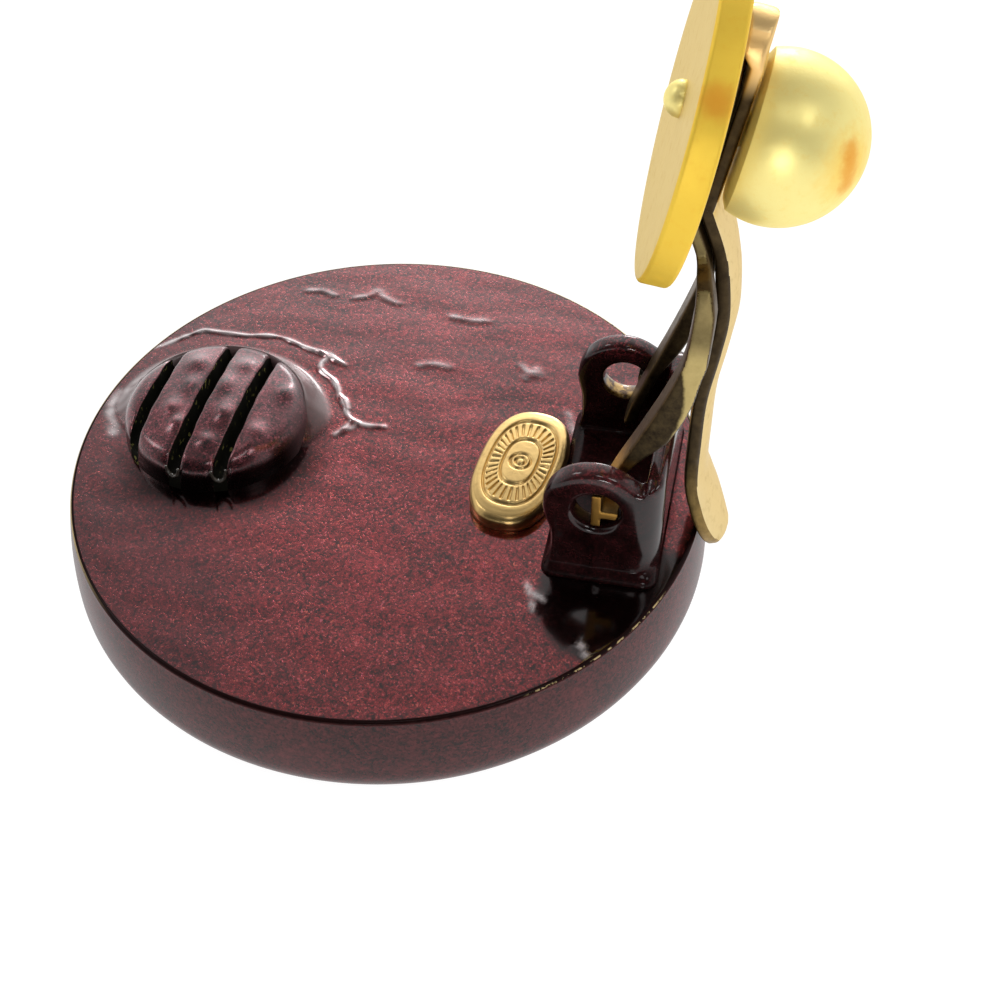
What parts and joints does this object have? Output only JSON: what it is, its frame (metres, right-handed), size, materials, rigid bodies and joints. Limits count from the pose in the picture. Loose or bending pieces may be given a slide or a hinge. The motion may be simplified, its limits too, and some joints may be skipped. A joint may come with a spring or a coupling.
{
  "type": "clip-on button earring",
  "caption": "Clip-on button earring seen from the back: a lacquered round button with a slotted pad, a hinge bracket and a sprung clip that closes on the ear lobe.",
  "frame": {"origin": "centre of the button's front face, which the part lies on", "axes": "+Z out of the back of the button, +X from the button's centre to the clip's hinge, hinge axis along Y"},
  "size_m": [0.0303, 0.0266, 0.0289],
  "materials": {
    "button_disc": "burgundy lacquer with fine red flakes, glossy",
    "slotted_pad": "burgundy lacquer, glossy, dark in the grooves",
    "plaque": "satin gilt, soft worn edges",
    "hinge_bracket": "near-black burgundy lacquer over metal, glossy, bare gilt in the holes",
    "clip_frame": "worn brown-olive gilt",
    "spring_tongue": "pale gilt face with dark olive edges",
    "pad_plate": "polished yellow gilt, pale inner face",
    "ball_stud": "polished pale gilt"
  },
  "bodies": {
    "button": {"button_disc": "button_disc", "slotted_pad": "slotted_pad", "plaque": "plaque", "hinge_bracket": "hinge_bracket"},
    "clip": {"clip_frame": "clip_frame", "spring_tongue": "spring_tongue", "pad_plate": "pad_plate", "ball_stud": "ball_stud"}
  },
  "joints": [
    {"name": "clip_hinge", "type": "hinge", "parent": "button", "child": "clip", "pos_m": [0.00925, 0, 0.0081], "axis": [0, -1, 0], "range_deg": [0, 93]}
  ]
}
